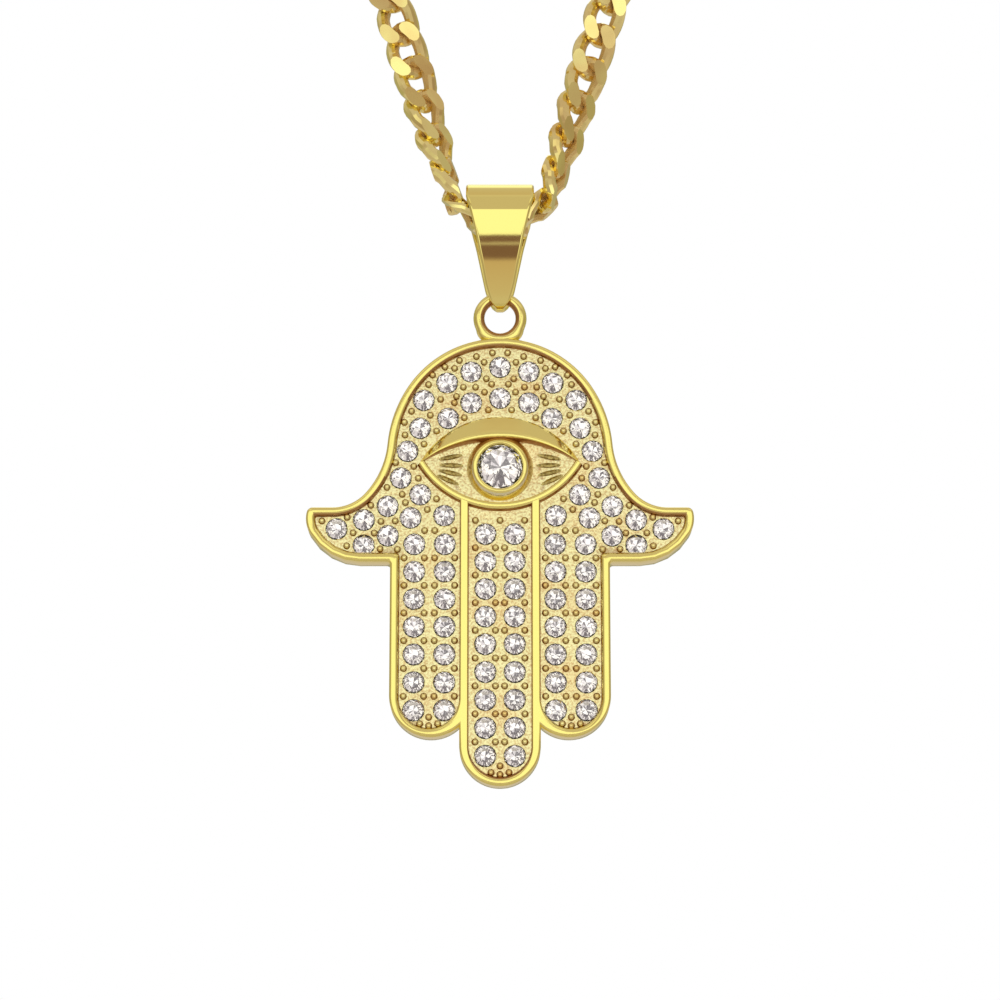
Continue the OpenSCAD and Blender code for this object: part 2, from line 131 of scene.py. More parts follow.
def palm_edge(inset):
    """Right half of the hand's outline down to the thumb's root, moved inwards."""
    tip = thumb_tip_r - inset
    corner = max(thumb_corner_r - inset, least_corner_r)
    corner_y = thumb_top - inset - corner
    corner_a = math.degrees(math.asin((corner_y - tip_c[1]) / (tip - corner)))
    corner_x = polar(tip_c, tip - corner, corner_a)[0]
    rise = tip_c[1] - thumb_under
    under_r = (thumb_root_l ** 2 + rise ** 2 - thumb_tip_r ** 2) / (2 * (rise - thumb_tip_r))
    under_c = (tip_c[0] - thumb_root_l, thumb_under + under_r)
    under_a = math.degrees(math.atan2(tip_c[1] - under_c[1], thumb_root_l))
    crotch_c = (fingers_half - inset + crotch_r, thumb_under + inset - crotch_r)
    return (arc((0, 0), arch_r - inset, 90, side_from, 20)
            + arc(side_c, side_r - inset, side_from, flare_from, 10, 1)
            + arc(flare_c, flare_r + inset, 180 + flare_from, thumb_from, 12, 1)
            + arc(bend_c, thumb_bend_r + inset, thumb_from, 270, 12, 1)
            + arc((corner_x, corner_y), corner, 90, corner_a, 6)
            + arc(tip_c, tip, corner_a, under_a, 20, 1)
            + arc(under_c, under_r - inset, under_a, -90, 4, 1)
            + arc(crotch_c, crotch_r, 90, 180, 8))


def whole(half):
    """A closed outline from its right half, which starts and ends on the middle line."""
    return half + [(-x, y) for x, y in reversed(half[1:-1])]


def hand_edge(inset):
    """The hand's whole outline, moved inwards by less than half a rim."""
    tip = (fingers_half - outer_tip_r, outer_end + outer_tip_r)
    notch = -math.degrees(math.acos((middle_half - inset - tip[0]) / (outer_tip_r - inset)))
    return whole(palm_edge(inset)
                 + arc(tip, outer_tip_r - inset, 0, notch, 30)
                 + arc((0, middle_end + middle_half), middle_half - inset, 0, -90, 24))


ridge_share = 0.35
ridge_rise = 1


def floor_edge(grow):
    """The edge of the sunken floor, grown towards the rim, less so along the thin ridges."""
    ridge = ridge_share * grow
    outside = fingers_half - rim_w + grow
    inside = middle_half - ridge
    end_r = (outside - inside) / 2
    middle_r = middle_half - rim_w + ridge
    ridge_top = lower_lid_y + ridge_rise
    return whole(palm_edge(rim_w - grow)
                 + arc(((outside + inside) / 2, outer_end + rim_w - grow + end_r), end_r, 0, -180, 32)
                 + [(inside, ridge_top), (middle_r, ridge_top)]
                 + arc((0, middle_end + rim_w - grow + middle_r), middle_r, 0, -90, 24))


def add_loop(bm, points, height):
    """A closed ring of edges at one height."""
    verts = [bm.verts.new((x, y, height)) for x, y in points]
    return [bm.edges.new((verts[i - 1], verts[i])) for i in range(len(verts))]


def bridge(bm, loops):
    """Joins each ring of edges to the next, and returns the new faces."""
    return [face for below, above in zip(loops, loops[1:])
            for face in bmesh.ops.bridge_loops(bm, edges=below + above)["faces"]]


def new_piece(name, bm, materials, smooth=35, keep=False):
    """Turns a mesh into a shaded piece whose place is in its mesh. Keep leaves its normals alone."""
    if not keep:
        bmesh.ops.remove_doubles(bm, verts=bm.verts, dist=1e-7)
        bmesh.ops.recalc_face_normals(bm, faces=bm.faces)
    mesh = bpy.data.meshes.new(name)
    bm.to_mesh(mesh)
    bm.free()
    for material in materials:
        mesh.materials.append(material)
    mesh.shade_smooth()
    mesh.set_sharp_from_angle(angle=math.radians(smooth))
    piece = bpy.data.objects.new(name, mesh)
    scene.collection.objects.link(piece)
    return piece


# Round stones in the palm, right half: across as a share of half the hand's width, up from
# the thumbs' underside as a share of the palm's height, and the bearings of the cast beads
# that stand round that stone
PALM = [
    # across, up, beads
    (0, 0.871, (63, 18)),
    (0.15, 0.85, (108, 45, 205)),
    (0.275, 0.8, (82, 116, 29, 195, 236)),
    (0.396, 0.722, (106, 177, -43, 247)),
    (0, 0.731, (60, 22, -46)),
    (0.15, 0.71, (105, 0, -66)),
    (0.269, 0.64, ()),
    (0.415, 0.596, (21, 190, 256)),
    (0.479, 0.493, (81, -45, 248)),
    (0.513, 0.373, (-35, 265)),
    (0.412, 0.299, (83, 195, -29, 245)),
    (0.288, 0.205, ()),
    (0.461, 0.196, ()),
    (0.58, 0.247, (3, -67, 243)),
    (0.702, 0.186, (9, -51, 232)),
    (0.842, 0.146, (29,)),
    (0.702, 0.074, (-2, 193)),
    (0.578, 0.116, (235,)),
]
stone_r = 1.03
bead_gap = 0.65
bead_reach = stone_r + bead_gap
row_pitch = 2.77
outer_line = (fingers_half - rim_w + middle_half) / 2
outer_spread = 1.51
middle_spread = 1.45
outer_top = thumb_under + 1.8
middle_top = lower_lid_y - 2.5
outer_rows = 7
middle_rows = 9
# across from the finger's line and up from its end, and across for the beads over the first row
END_BEADS = ((0, 2), (-0.88, 1.35), (0.88, 1.35), (0, 1.15))
OUTER_TOP_BEADS = (-2.41, -0.51, 0.5)
MIDDLE_TOP_BEADS = (-2.45, 0, 2.45)


def both_sides(places):
    """Places on the right half and the middle line, with their mirror images."""
    return places + [(-x, y) for x, y in places if x > 0.01]


def rows(line, spread, top, count):
    """Two columns of stones down a finger."""
    return [(line + side * spread, top - row_pitch * k) for k in range(count) for side in (-1, 1)]


palm_stones = both_sides([(a * hand_w / 2, thumb_under + u * palm_h) for a, u, beads in PALM])
right_stones = rows(outer_line, outer_spread, outer_top, outer_rows)
left_stones = [(-x, y) for x, y in right_stones]
middle_stones = rows(0, middle_spread, middle_top, middle_rows)


def finger_beads(line, spread, top, count, end):
    """Four beads across between the rows, and a cluster in the finger's end."""
    between = [(line + side * spread + off, top + row_pitch * (0.5 - k))
               for k in range(1, count) for side in (-1, 1) for off in (-1, 1)]
    return between + [(line + x, end + y) for x, y in END_BEADS]


bead_places = both_sides([polar((a * hand_w / 2, thumb_under + u * palm_h), bead_reach, bearing)
                          for a, u, beads in PALM for bearing in beads])
outer_beads = finger_beads(outer_line, outer_spread, outer_top, outer_rows, outer_end)
outer_beads += [(outer_line + x, outer_top + row_pitch / 2) for x in OUTER_TOP_BEADS]
bead_places += outer_beads + [(-x, y) for x, y in outer_beads]
bead_places += finger_beads(0, middle_spread, middle_top, middle_rows, middle_end)
bead_places += [(x, middle_top + row_pitch / 2) for x in MIDDLE_TOP_BEADS]

# The casting's material slots; the recess slot is painted brown shade, and the collar slot a paler gold
# painted as light
POLISHED, MATTE, BEAD, PAINTED_SHADE, STROKE, PAINTED_COLLAR = range(6)
casting = bmesh.new()
edge_round = 0.28
rim_round = 0.42
back_round = 0.3
foot_w = 0.04
foot_h = 0.03
quarter = [math.radians(a) for a in (0, 22.5, 45, 67.5, 90)]

# The outer wall, from the rounded back edge to the rounded front edge
wall = [add_loop(casting, hand_edge(back_round * (1 - math.sin(a))), back_round * (1 - math.cos(a)))
        for a in quarter]
wall += [add_loop(casting, hand_edge(edge_round * (1 - math.cos(a))),
                  hand_t - edge_round * (1 - math.sin(a))) for a in quarter]
bridge(casting, wall)
bmesh.ops.triangle_fill(casting, edges=wall[0], use_beauty=True)

# The inner wall, down to the floor. Only its upper part keeps the polished gold, and hardly any of it
# where it faces down or lies in the middle finger: the rest is painted brown shade, for the recess's shadow.
shaded_from = 0.06
open_from = 0.2
facing_down = -0.25
slope = [add_loop(casting, floor_edge(rim_round * (1 - math.cos(a))),
                  hand_t - rim_round * (1 - math.sin(a))) for a in reversed(quarter)]
slope += [add_loop(casting, floor_edge(0), floor_z + foot_h),
          add_loop(casting, floor_edge(-foot_w), floor_z)]
for face in bridge(casting, slope):
    face.normal_update()
    middle = face.calc_center_median()
    faces_down = face.normal.y * math.copysign(1, face.normal.z) < facing_down
    in_middle = abs(middle.x) < middle_half and middle.y < lower_lid_y + ridge_rise + 0.1
    if middle.z < hand_t - (shaded_from if faces_down or in_middle else open_from):
        face.material_index = PAINTED_SHADE
bmesh.ops.triangle_fill(casting, edges=wall[-1] + slope[0], use_beauty=True)

# The floor, with a seat for every stone and the strokes beside the eye stone
seat_room = 0.09
seat_r = stone_r + seat_room
seat_depth = 0.8
seat_taper = 0.96
foot_room = 0.1
rim_foot = thumb_under + rim_w + foot_room
eye_c = (0, lid_level - 0.4)
eye_stone_r = 2.22
eye_seat_depth = 1.3
STROKE_BEARINGS = (169, 181.5, 193, 204.5)
stroke_far = 3.85
stroke_half_l = 1.22
stroke_half_w = 0.26
stroke_depth = 0.16
stroke_taper = 0.45
fan_out = 0.6
dice = random.Random(7)


def seat_loop(place, radius, corners):
    """A round hole's edge, turned at random so that the corners of a row don't line up."""
    start = dice.uniform(0, 360)
    points = arc(place, radius, start, start + 360 * (corners - 1) / corners, corners - 1)
    if abs(place[0]) > fingers_half:
        # in a thumb, a seat that would reach under the rim ends at the rim's foot
        points = [(x, max(y, rim_foot)) for x, y in points]
    return add_loop(casting, points, floor_z)


def stroke_loop(side, bearing):
    """The oval edge of one stroke, on a fan that spreads from just past the eye's corner."""
    along = bearing if side > 0 else 180 - bearing
    middle = polar((side * (eye_half + fan_out), lid_level), stroke_far, along)
    turned = Matrix.Rotation(math.radians(along), 2)
    oval = [turned @ Vector((stroke_half_l * math.cos(t), stroke_half_w * math.sin(t)))
            for t in [2 * math.pi * i / 20 for i in range(20)]]
    return add_loop(casting, [(middle[0] + v.x, middle[1] + v.y) for v in oval], floor_z)


seat_loops = [seat_loop(p, seat_r, 16) for p in palm_stones + left_stones + middle_stones + right_stones]
eye_seat = seat_loop(eye_c, eye_stone_r, 32)
stroke_loops = [stroke_loop(side, bearing) for side in (-1, 1) for bearing in STROKE_BEARINGS]
loops = [slope[-1], eye_seat] + seat_loops + stroke_loops
filled = bmesh.ops.triangle_fill(casting, edges=[e for loop in loops for e in loop], use_beauty=True)
for face in [g for g in filled["geom"] if isinstance(g, bmesh.types.BMFace)]:
    face.material_index = MATTE


def sink(bm, loop, depth, shrink, material):
    """Pushes a hole's edge down into a pocket and closes its bottom."""
    walls = bmesh.ops.extrude_edge_only(bm, edges=loop)["geom"]
    verts = [g for g in walls if isinstance(g, bmesh.types.BMVert)]
    middle = sum((v.co for v in verts), Vector()) / len(verts)
    for v in verts:
        v.co = middle + (v.co - middle) * shrink - Vector((0, 0, depth))
    bottom = bmesh.ops.contextual_create(bm, geom=[g for g in walls if isinstance(g, bmesh.types.BMEdge)
                                                   and all(u in verts for u in g.verts)])["faces"]
    for face in [g for g in walls if isinstance(g, bmesh.types.BMFace)] + bottom:
        face.material_index = material


for loop in seat_loops:
    sink(casting, loop, seat_depth, seat_taper, POLISHED)
sink(casting, eye_seat, eye_seat_depth, seat_taper, POLISHED)
for loop in stroke_loops:
    sink(casting, loop, stroke_depth, stroke_taper, STROKE)
bmesh.ops.recalc_face_normals(casting, faces=casting.faces)

# Cast beads between the stones, half sunk in the floor
bead_r = 0.37
one_bead = bmesh.new()
bmesh.ops.create_uvsphere(one_bead, u_segments=12, v_segments=8, radius=bead_r)
for face in one_bead.faces:
    face.material_index = BEAD
bead_mesh = bpy.data.meshes.new("bead")
one_bead.to_mesh(bead_mesh)
one_bead.free()
for x, y in bead_places:
    bead_mesh.transform(Matrix.Translation((x, y, floor_z)))
    casting.from_mesh(bead_mesh)
    bead_mesh.transform(Matrix.Translation((-x, -y, -floor_z)))
bpy.data.meshes.remove(bead_mesh)

# The eye: the upper lid rises from the floor to a rounded crest and drops steeply inside it
lid_rise = 4.9
crest_rise = 2.7
crest_up = 0.7
# the crest keeps a part of its height until close to the corners, and the rest is a bow
crest_level = 0.42
level_power = 12
bow_power = 0.7


def chord_arc(rise, drop=0.0):
    """An arc between the eye's corners, by share of the way from left to right."""
    radius = (eye_half ** 2 + rise ** 2) / (2 * rise)
    reach = math.degrees(math.asin(eye_half / radius))
    return lambda u: polar((0, lid_level + rise - radius), radius - drop, 90 - u * reach)


lid_edge = chord_arc(lid_rise)
crest_edge = chord_arc(crest_rise)
# share of the way from the lid's edge to its crest, and height as a share of the crest's
LID_ROWS = [(0, -0.1), (0.03, 0.1), (0.12, 0.22), (0.3, 0.42), (0.5, 0.62), (0.68, 0.81), (0.8, 0.93),
            (0.86, 0.985), (0.92, 1.0), (1.0, 0.99), (1.04, 0.92), (1.09, 0.66), (1.14, -0.1)]
lid_steps = 72


def edges_of(verts):
    """The edges at some corners, each once, and in the same order in each run."""
    return list(dict.fromkeys(e for v in verts for e in v.link_edges))


def close_below(bm, verts):
    """Closes a grid's open border underneath with one face."""
    bmesh.ops.contextual_create(bm, geom=[e for e in edges_of(verts) if e.is_boundary])


lid = bmesh.ops.create_grid(casting, x_segments=lid_steps, y_segments=len(LID_ROWS) - 1, size=1)["verts"]
for v in lid:
    u = v.co.x
    share, height = LID_ROWS[round((v.co.y + 1) / 2 * (len(LID_ROWS) - 1))]
    low, high = lid_edge(u), crest_edge(u)
    bow = crest_level * (1 - u ** level_power) + (1 - crest_level) * (1 - u * u) ** bow_power
    full = floor_z + (hand_t - floor_z + crest_up) * bow
    v.co = (low[0] + (high[0] - low[0]) * share, low[1] + (high[1] - low[1]) * share,
            floor_z + (full - floor_z) * height)
# The steep inner wall under the crest is painted brown shade
for face in {f for v in lid[-2 * (lid_steps + 1):] for f in v.link_faces}:
    face.material_index = PAINTED_SHADE
close_below(casting, lid)

# The lower lid is a narrow rim of the same height as the hand's: inwards from its outer edge,
# and height over the hand's front
LOWER_LID = [(-0.2, -0.55), (-0.16, -0.4), (0, -0.1), (0.08, -0.02), (0.2, 0.02), (0.4, 0.03), (0.56, 0.01),
             (0.62, -0.05), (0.65, -0.14), (0.65, -0.55)]
low_lid = bmesh.ops.create_grid(casting, x_segments=lid_steps, y_segments=len(LOWER_LID) - 1, size=1)["verts"]
for v in low_lid:
    u = v.co.x
    drop, height = LOWER_LID[round((v.co.y + 1) / 2 * (len(LOWER_LID) - 1))]
    x, y = chord_arc(lower_lid_drop, drop)(u)
    v.co = (x, 2 * lid_level - y, hand_t + height)
# The foot of the lower lid's outer wall is painted brown shade
for face in {f for v in low_lid[:2 * (lid_steps + 1)] for f in v.link_faces}:
    face.material_index = PAINTED_SHADE
close_below(casting, low_lid)

# The eye stone's setting, a round collar with a rolled crest: radius and height of its section
BEZEL = [(2.2, 2.3), (2.24, 3.42), (2.3, 3.54), (2.42, 3.6), (2.6, 3.59), (2.74, 3.5), (2.94, 3.26),
         (3.12, 2.96), (3.25, 2.7), (3.33, 2.45)]
# The collar's outer slope gets a paler gold than the casting's, painted light on that slope
collar_from = 2.7
old_faces = set(casting.faces)
section = [casting.verts.new((eye_c[0] + r, eye_c[1], h)) for r, h in BEZEL]
bmesh.ops.spin(casting, geom=section + [casting.edges.new(pair) for pair in zip(section, section[1:])],
               cent=(*eye_c, 0), axis=(0, 0, 1), angle=2 * math.pi, steps=72, use_merge=True)
bmesh.ops.remove_doubles(casting, verts=casting.verts, dist=1e-5)
for face in casting.faces:
    if face not in old_faces:
        middle = face.calc_center_median()
        if math.hypot(middle.x - eye_c[0], middle.y - eye_c[1]) > collar_from:
            face.material_index = PAINTED_COLLAR

# The ring on top, standing in the hand's middle plane, its inside painted brown shade, its foot
# widened where it runs into the hand
ring_y = arch_r - ring_sink + ring_r + ring_wire_r
inner_share = 0.35
widens_below = 1.2
widening = 0.4
old_verts = set(casting.verts)
wire = bmesh.ops.create_circle(casting, segments=20, radius=ring_wire_r,
                               matrix=Matrix.Translation((ring_r, ring_y, hand_t / 2))
                               @ Matrix.Rotation(math.radians(90), 4, "X"))["verts"]
bmesh.ops.spin(casting, geom=wire + edges_of(wire),
               cent=(0, ring_y, hand_t / 2), axis=(0, 0, 1), angle=2 * math.pi, steps=64, use_merge=True)
ring_verts = [v for v in casting.verts if v not in old_verts]
# the inner side of the ring's wire is painted brown shade
for face in {f for v in ring_verts for f in v.link_faces}:
    middle = face.calc_center_median()
    if math.hypot(middle.x, middle.y - ring_y) < ring_r - inner_share * ring_wire_r:
        face.material_index = PAINTED_SHADE
for v in ring_verts:
    depth = max(0, ring_y - v.co.y - widens_below)
    outer = max(0, math.hypot(v.co.x, v.co.y - ring_y) - ring_r + ring_wire_r) / (2 * ring_wire_r)
    v.co.x += math.copysign(widening * depth * outer, v.co.x)
bmesh.ops.transform(casting, matrix=HAND_PLACE, verts=casting.verts)


def socket(group, name, kind, way, value=None):
    """Adds an input or output to a node group."""
    made = group.interface.new_socket(name=name, in_out=way, socket_type=kind)
    if value is not None:
        made.default_value = value
    return made


def node_at(tree, kind, **values):
    """Adds a node, with values for its sockets and settings."""
    made = tree.nodes.new(kind)
    for name, value in values.items():
        if name in made.inputs:
            made.inputs[name].default_value = value
        else:
            setattr(made, name, value)
    return made


# Fine grain and slow unevenness of a cast, sandblasted or tumbled metal
grain = bpy.data.node_groups.new("cast_grain", "ShaderNodeTree")
socket(grain, "Fine Size", "NodeSocketFloat", "INPUT", 9000.0)
socket(grain, "Wave Size", "NodeSocketFloat", "INPUT", 700.0)
socket(grain, "Fine Depth", "NodeSocketFloat", "INPUT", 0.5)
socket(grain, "Wave Depth", "NodeSocketFloat", "INPUT", 0.5)
socket(grain, "Height", "NodeSocketFloat", "OUTPUT")
socket(grain, "Wave", "NodeSocketFloat", "OUTPUT")
socket(grain, "Speckle", "NodeSocketFloat", "OUTPUT")
enter = grain.nodes.new("NodeGroupInput")
leave = grain.nodes.new("NodeGroupOutput")
where = grain.nodes.new("ShaderNodeTexCoord")
fine_noise = node_at(grain, "ShaderNodeTexNoise", Detail=2.0)
wave_noise = node_at(grain, "ShaderNodeTexNoise", Detail=1.0)
fine_part = node_at(grain, "ShaderNodeMath", operation="MULTIPLY")
wave_part = node_at(grain, "ShaderNodeMath", operation="MULTIPLY_ADD")
for noise, size in ((fine_noise, "Fine Size"), (wave_noise, "Wave Size")):
    grain.links.new(where.outputs["Object"], noise.inputs["Vector"])
    grain.links.new(enter.outputs[size], noise.inputs["Scale"])
grain.links.new(fine_noise.outputs["Fac"], fine_part.inputs[0])
grain.links.new(enter.outputs["Fine Depth"], fine_part.inputs[1])
grain.links.new(wave_noise.outputs["Fac"], wave_part.inputs[0])
grain.links.new(enter.outputs["Wave Depth"], wave_part.inputs[1])
grain.links.new(fine_part.outputs[0], wave_part.inputs[2])
grain.links.new(wave_part.outputs[0], leave.inputs["Height"])
grain.links.new(wave_noise.outputs["Fac"], leave.inputs["Wave"])
speckle = node_at(grain, "ShaderNodeMapRange", **{"From Min": 0.36, "From Max": 0.56})
grain.links.new(fine_noise.outputs["Fac"], speckle.inputs["Value"])
grain.links.new(speckle.outputs["Result"], leave.inputs["Speckle"])

# Slow reddish patches where the plating is thin
plating = bpy.data.node_groups.new("thin_plating", "ShaderNodeTree")
socket(plating, "Color", "NodeSocketColor", "INPUT")
socket(plating, "Tint", "NodeSocketColor", "INPUT")
socket(plating, "Size", "NodeSocketFloat", "INPUT", 240.0)
socket(plating, "Color", "NodeSocketColor", "OUTPUT")
plating_enter = plating.nodes.new("NodeGroupInput")
plating_leave = plating.nodes.new("NodeGroupOutput")
plating_where = plating.nodes.new("ShaderNodeTexCoord")
slow_noise = node_at(plating, "ShaderNodeTexNoise", Detail=1.0)
amount = node_at(plating, "ShaderNodeMapRange", **{"From Min": 0.48, "From Max": 0.66})
reddened = node_at(plating, "ShaderNodeMix", data_type="RGBA", blend_type="MULTIPLY")
plating.links.new(plating_where.outputs["Object"], slow_noise.inputs["Vector"])
plating.links.new(plating_enter.outputs["Size"], slow_noise.inputs["Scale"])
plating.links.new(slow_noise.outputs["Fac"], amount.inputs["Value"])
plating.links.new(amount.outputs["Result"], reddened.inputs["Factor"])
plating.links.new(plating_enter.outputs["Color"], reddened.inputs["A"])
plating.links.new(plating_enter.outputs["Tint"], reddened.inputs["B"])
plating.links.new(reddened.outputs["Result"], plating_leave.inputs["Color"])


def gold(name, color, roughness, fine, wave, bump, spread=0.0, pits=None):
    """A plated metal. Fine and wave are the size and depth of its grain and of its unevenness, bump
    is how high both stand in metres, spread is how far its gloss varies, pits is their colour."""
    material = bpy.data.materials.new(name)
    material.use_nodes = True
    tree = material.node_tree
    shader = tree.nodes["Principled BSDF"]
    shader.inputs["Base Color"].default_value = (*color, 1)
    shader.inputs["Metallic"].default_value = 1
    shader.inputs["Roughness"].default_value = roughness
    surface = node_at(tree, "ShaderNodeGroup", node_tree=grain)
    for socket_name, value in zip(("Fine Size", "Fine Depth", "Wave Size", "Wave Depth"), fine + wave):
        surface.inputs[socket_name].default_value = value
    relief = node_at(tree, "ShaderNodeBump", Strength=1.0, Distance=bump)
    tree.links.new(surface.outputs["Height"], relief.inputs["Height"])
    tree.links.new(relief.outputs["Normal"], shader.inputs["Normal"])
    if spread:
        varied = node_at(tree, "ShaderNodeMapRange",
                         **{"To Min": roughness - spread, "To Max": roughness + spread})
        tree.links.new(surface.outputs["Wave"], varied.inputs["Value"])
        tree.links.new(varied.outputs["Result"], shader.inputs["Roughness"])
    if pits:
        tint = node_at(tree, "ShaderNodeMix", data_type="RGBA")
        tint.inputs["A"].default_value = (*pits, 1)
        tint.inputs["B"].default_value = (*color, 1)
        tree.links.new(surface.outputs["Speckle"], tint.inputs["Factor"])
        tree.links.new(tint.outputs["Result"], shader.inputs["Base Color"])
    return material


polished = gold("polished_casting", (0.97, 0.83, 0.27), 0.12,
                fine=(6000, 0.15), wave=(500, 0.85), bump=0.00002, spread=0.04)
matte = gold("sandblasted_floor", (1.0, 0.92, 0.51), 0.28,
             fine=(4400, 0.7), wave=(700, 0.4), bump=0.00005, spread=0.05, pits=(0.76, 0.56, 0.27))
bead_gold_painted_shade = gold("cast_bead_painted_shade", (0.85, 0.6, 0.2), 0.17,
                 fine=(6000, 0.3), wave=(900, 0.7), bump=0.00004, spread=0.05)
# Painted brown shade for the casting's walls and hollows
painted_shade_gold = gold("painted_shade_gold", (0.5, 0.27, 0.1), 0.3,
              fine=(9000, 0.3), wave=(900, 0.4), bump=0.00004, spread=0.05)
engraved = gold("engraved_stroke", (0.6, 0.47, 0.17), 0.42,
                fine=(4500, 0.6), wave=(900, 0.3), bump=0.00005, spread=0.05, pits=(0.3, 0.22, 0.07))
# A paler copy of the polished gold, painted light for the collar's outer slope
collar = gold("collar_slope_painted_light", (0.97, 0.89, 0.56), 0.16,
              fine=(6000, 0.15), wave=(600, 0.8), bump=0.00002, spread=0.04)

# A bead gets a painted highlight on top and painted brown shade down round its foot
shade_below = 0.55
lit_above = 0.93
floor_y = (HAND_PLACE @ Vector((0, 0, floor_z))).y
bead_tree = bead_gold_painted_shade.node_tree
bead_where = node_at(bead_tree, "ShaderNodeTexCoord")
bead_parts = node_at(bead_tree, "ShaderNodeSeparateXYZ")
bead_rise = node_at(bead_tree, "ShaderNodeMapRange",
                    **{"From Min": floor_y - shade_below * bead_r / 1000,
                       "From Max": floor_y - lit_above * bead_r / 1000})
bead_painted_shade = node_at(bead_tree, "ShaderNodeMix", data_type="RGBA")
bead_painted_shade.inputs["A"].default_value = (0.46, 0.3, 0.09, 1)
bead_painted_shade.inputs["B"].default_value = (1.0, 0.88, 0.38, 1)
bead_tree.links.new(bead_where.outputs["Object"], bead_parts.inputs[0])
bead_tree.links.new(bead_parts.outputs["Y"], bead_rise.inputs["Value"])
bead_tree.links.new(bead_rise.outputs["Result"], bead_painted_shade.inputs["Factor"])
bead_tree.links.new(bead_painted_shade.outputs["Result"], bead_tree.nodes["Principled BSDF"].inputs["Base Color"])

# Both the floor and the beads are reddish in places
for material, tint in ((matte, (0.97, 0.89, 0.86)), (bead_gold_painted_shade, (0.92, 0.75, 0.62))):
    base = material.node_tree.nodes["Principled BSDF"].inputs["Base Color"]
    patchy = node_at(material.node_tree, "ShaderNodeGroup", node_tree=plating)
    patchy.inputs["Tint"].default_value = (*tint, 1)
    material.node_tree.links.new(base.links[0].from_socket, patchy.inputs["Color"])
    material.node_tree.links.new(patchy.outputs["Color"], base)

hand = new_piece("hand_casting", casting, [polished, matte, bead_gold_painted_shade, painted_shade_gold, engraved, collar], keep=True)
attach(hand, "pendant")
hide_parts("hand")

# The stones
# Machine-cut round crystals with a mirror foil on the back. Each is pressed into its seat, so
# its girdle lies level with the floor and only the crown and table stand out.
glass = bpy.data.materials.new("crystal")
glass.use_nodes = True
glass_shader = glass.node_tree.nodes["Principled BSDF"]
for socket_name, value in (("Base Color", (0.98, 0.98, 0.98, 1)), ("Roughness", 0.01), ("IOR", 1.56),
                           ("Transmission Weight", 1.0), ("Metallic", 0.0)):
    glass_shader.inputs[socket_name].default_value = value
foil = bpy.data.materials.new("mirror_foil")
foil.use_nodes = True
foil_shader = foil.node_tree.nodes["Principled BSDF"]
for socket_name, value in (("Base Color", (0.96, 0.94, 0.9, 1)), ("Roughness", 0.05), ("Metallic", 1.0)):
    foil_shader.inputs[socket_name].default_value = value

CROWN, FOIL = range(2)
foil_below = -0.2
crystal_r = stone_r + 0.03
girdle_up = 0.05
stone_tilt = 4
BRILLIANT = [
    # corners, turn, radius and height: the table, the star points, the girdle twice and the point
    (8, 0.0, 0.46, 0.29),
    (8, 22.5, 0.77, 0.18),
    (16, 0.0, 1.0, 0.02),
    (16, 0.0, 1.0, -0.03),
    (8, 11.25, 0.04, -0.31),
]


def brilliant(bm, radius, place):
    """One cut stone, from rings of corners wrapped in flat facets."""
    corners = []
    for count, turn, share, height in BRILLIANT:
        level = Matrix.Translation((0, 0, height * radius)) @ Matrix.Rotation(math.radians(turn), 4, "Z")
        corners += bmesh.ops.create_circle(bm, segments=count, radius=share * radius,
                                           matrix=place @ level)["verts"]
    hull = bmesh.ops.convex_hull(bm, input=corners)
    faces = [g for g in hull["geom"] if isinstance(g, bmesh.types.BMFace)]
    axis = place.to_3x3() @ Vector((0, 0, 1))
    for face in faces:
        face.normal_update()
        face.material_index = FOIL if face.normal.dot(axis) < foil_below else CROWN


def stone_field(name, node, places):
    """The stones of one part of the hand, each seated a little crooked."""
    bm = bmesh.new()
    for x, y in places:
        tilt = Matrix.Rotation(math.radians(dice.uniform(-stone_tilt, stone_tilt)), 4, "X")
        turn = Matrix.Rotation(dice.uniform(0, math.pi), 4, "Z")
        brilliant(bm, crystal_r, Matrix.Translation((x, y, floor_z + girdle_up)) @ tilt @ turn)
    bmesh.ops.transform(bm, matrix=HAND_PLACE, verts=bm.verts)
    piece = new_piece(name, bm, [glass, foil], smooth=1)
    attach(piece, "pendant")
    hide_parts(node)


stone_field("palm_crystals", "palm_stones", palm_stones)
stone_field("left_finger_crystals", "left_finger_stones", left_stones)
stone_field("middle_finger_crystals", "middle_finger_stones", middle_stones)
stone_field("right_finger_crystals", "right_finger_stones", right_stones)

# The eye stone
# A crystal of the same cut and foil, about twice as wide, set higher than the others and held
# by the rolled crest of its collar.
eye_girdle_z = 3.2
eye_turn = 0.2
eye = bmesh.new()
brilliant(eye, eye_stone_r, Matrix.Translation((*eye_c, eye_girdle_z)) @ Matrix.Rotation(eye_turn, 4, "Z"))
bmesh.ops.transform(eye, matrix=HAND_PLACE, verts=eye.verts)
eye_crystal = new_piece("eye_crystal", eye, [glass, foil], smooth=1)
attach(eye_crystal, "pendant")
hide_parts("eye_stone")

# The bail
# A tapered strap of plated and polished metal, folded over the chain and closed through the
# ring. Its long edges are softened, which shows as a thin bright border.
bail_joint = next(j for j in frame["joints"] if j["name"] == "bail_swing")
bail_middle = Vector(bail_joint["pos_m"]) * 1000
bail_low, bail_high = (v * 1000 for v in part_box("bail"))
bail_top_r = bail_high.z - bail_middle.z
bail_l = bail_middle.z - swing.z * 1000
bail_foot_r = swing.z * 1000 - bail_low.z
bail_half = (bail_high.x - bail_low.x) / 2
bail_t = 0.5
bail_bulge = 0.12
